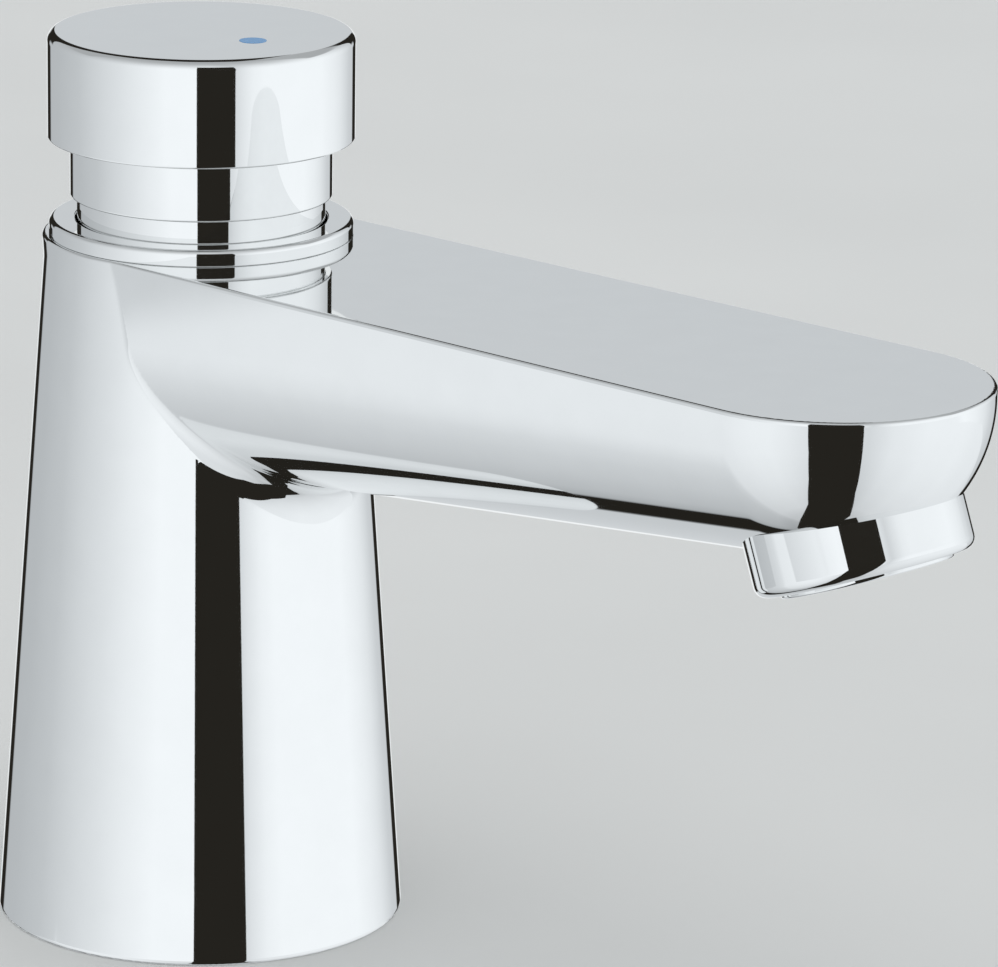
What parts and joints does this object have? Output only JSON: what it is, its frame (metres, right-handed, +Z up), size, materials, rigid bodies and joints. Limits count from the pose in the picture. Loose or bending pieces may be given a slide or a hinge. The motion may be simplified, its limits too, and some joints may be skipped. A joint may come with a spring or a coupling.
{
  "type": "push timed tap",
  "caption": "Self-closing basin pillar tap: press-down cap over a tapered pillar, fixed flat-topped round-ended spout, tilted aerator outlet and threaded tail below the deck.",
  "frame": {"origin": "centre of the round base on the plane where it sits on the basin deck", "axes": "+Z up along the pillar axis, out of the deck; the spout points along -Y, towards the user"},
  "size_m": [0.05, 0.1432, 0.1603],
  "materials": {
    "chrome": "polished chrome plate over cast or turned brass",
    "brass": "machined brass",
    "stainless": "plain stainless steel, pressed, drawn or turned",
    "rubber": "moulded black rubber",
    "white_plastic": "moulded white acetal",
    "grey_plastic": "moulded grey acetal",
    "cold_blue": "glossy blue plastic"
  },
  "bodies": {
    "tap": {"tap_body": "chrome", "collar": "chrome", "cartridge_cover": "chrome", "guide_sleeve": "chrome", "aerator_shell": "chrome", "cartridge_housing": "brass", "inlet_tail": "brass", "back_nut": "brass", "valve_seat": "stainless", "metering_pin": "stainless", "inlet_strainer": "stainless", "clamp_washer": "stainless", "aerator_screen": "stainless", "return_spring": "stainless", "cartridge_gasket": "rubber", "cartridge_o_ring": "rubber", "stem_o_ring": "rubber", "rod_o_ring": "rubber", "tail_washer": "rubber", "base_gasket": "rubber", "clamp_gasket": "rubber", "aerator_seal": "rubber", "seal_retainer": "white_plastic", "aerator_honeycomb": "white_plastic", "flow_limiter": "grey_plastic"},
    "button": {"push_cap": "chrome", "cold_mark": "cold_blue", "cap_carrier": "white_plastic", "cap_screw": "stainless", "push_rod": "brass", "timing_piston": "white_plastic", "piston_seal": "rubber", "valve_washer": "rubber", "valve_cup": "brass", "valve_nut": "brass"}
  },
  "joints": [
    {"name": "push_stroke", "type": "slide", "parent": "tap", "child": "button", "axis": [0, 0, -1], "range_m": [0, 0.006], "stiffness_N_per_m": 600, "springref_m": -0.02, "deforming": ["return_spring"]}
  ]
}
